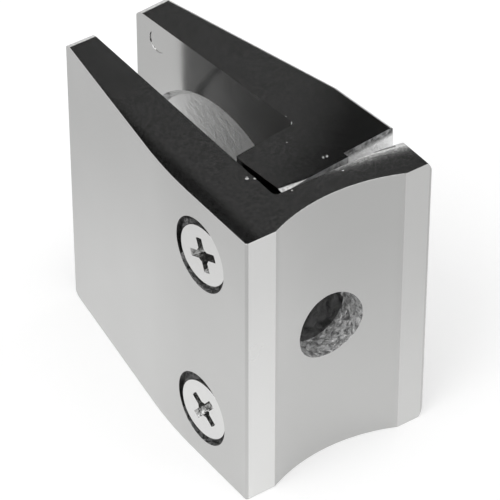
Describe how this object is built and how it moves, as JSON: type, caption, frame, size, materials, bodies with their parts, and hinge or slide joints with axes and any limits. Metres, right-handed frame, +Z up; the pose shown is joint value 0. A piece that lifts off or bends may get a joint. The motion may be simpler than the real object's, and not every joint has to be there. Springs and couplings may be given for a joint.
{
  "type": "glass panel clamp",
  "caption": "Square clamp of polished stainless steel for a glass balustrade panel, with a saddle for a round post, a loosened moving jaw and countersunk cross-head screws.",
  "frame": {"origin": "on the axis of the bolt hole, at the bottom of the saddle where the post touches it", "axes": "X across the glass, Y from the post into the clamp, Z up along the edge of the glass"},
  "size_m": [0.0304, 0.0512, 0.045],
  "materials": {
    "cast_stainless_body": "satin sides, mirror-polished top and bottom, rough cast inside the bolt hole",
    "cast_stainless_jaw": "mirror-polished top and bottom, smooth inner face, rough cast recess",
    "screw_steel": "plain bright stainless steel"
  },
  "bodies": {
    "fixed_half": {"fixed_half": "cast_stainless_body"},
    "jaw": {"moving_jaw": "cast_stainless_jaw"},
    "screw_upper": {"screw_upper": "screw_steel"},
    "screw_lower": {"screw_lower": "screw_steel"}
  },
  "joints": [
    {"name": "jaw_slide", "type": "slide", "parent": "fixed_half", "child": "jaw", "axis": [0.9963, 0.0865, 0], "range_m": [-0.0003, 0.004]},
    {"name": "screw_upper_turn", "type": "hinge", "parent": "fixed_half", "child": "screw_upper", "pos_m": [-0.01485, 0.00807, 0.0136], "axis": [-0.9963, -0.0865, 0], "range_deg": [-140, 1805]},
    {"name": "screw_lower_turn", "type": "hinge", "parent": "fixed_half", "child": "screw_lower", "pos_m": [-0.01495, 0.00806, -0.0136], "axis": [-0.9963, -0.0865, 0], "range_deg": [-140, 1805]}
  ],
  "couplings": [
    {"joint": "screw_upper_turn", "follows": "jaw_slide", "rad_per_m": 7854},
    {"joint": "screw_lower_turn", "follows": "jaw_slide", "rad_per_m": 7854}
  ]
}
